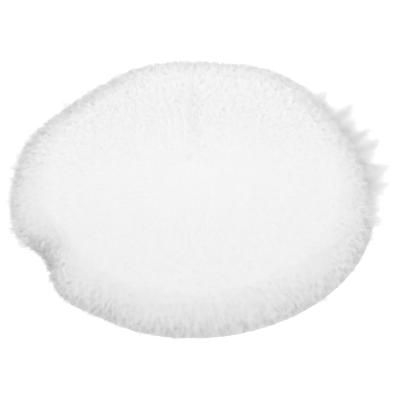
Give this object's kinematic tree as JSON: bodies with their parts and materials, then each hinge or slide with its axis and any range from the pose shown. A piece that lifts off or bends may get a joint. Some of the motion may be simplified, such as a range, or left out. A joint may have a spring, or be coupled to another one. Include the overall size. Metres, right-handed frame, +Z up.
{
  "type": "tree skirt",
  "caption": "Round white long-pile faux fur tree skirt with a trunk hole in the middle and a slit at the back that closes with an overlapping flap.",
  "frame": {"origin": "centre of the skirt on the plane that it lies on", "axes": "+Z up through the pile, +Y from the trunk hole along the slit to the back rim"},
  "size_m": [0.78, 0.78, 0.0517],
  "materials": {
    "fur": "matte",
    "knit": "matte",
    "felt": "matte",
    "tape": "matte",
    "hooks": "matte",
    "loops": "matte",
    "label": "satin"
  },
  "bodies": {
    "main": {"fur_pile": "fur", "ground_fabric": "knit", "felt_backing": "felt", "hem_tape": "tape", "hole_tape": "tape", "care_label": "label"},
    "overlap_flap": {"overlap_pile": "fur", "overlap_ground": "knit", "overlap_felt": "felt", "overlap_hem_tape": "tape", "overlap_hole_tape": "tape", "slit_tape": "tape", "hook_patch_1": "hooks", "hook_patch_2": "hooks", "hook_patch_3": "hooks"},
    "underlap_flap": {"underlap_pile": "fur", "underlap_ground": "knit", "underlap_felt": "felt", "underlap_hem_tape": "tape", "underlap_hole_tape": "tape", "placket": "tape", "loop_patch_1": "loops", "loop_patch_2": "loops", "loop_patch_3": "loops"}
  },
  "joints": [
    {"name": "overlap_lift", "type": "hinge", "parent": "main", "child": "overlap_flap", "pos_m": [0.04432, 0.00781, 0.0049], "axis": [0.5682, 0.8229, 0], "range_deg": [0, 75]},
    {"name": "underlap_lift", "type": "hinge", "parent": "main", "child": "underlap_flap", "pos_m": [-0.04432, 0.00781, 0.0049], "axis": [0.5682, -0.8229, 0], "range_deg": [0, 22.5]}
  ],
  "couplings": [
    {"joint": "underlap_lift", "follows": "overlap_lift", "ratio": 0.3}
  ]
}
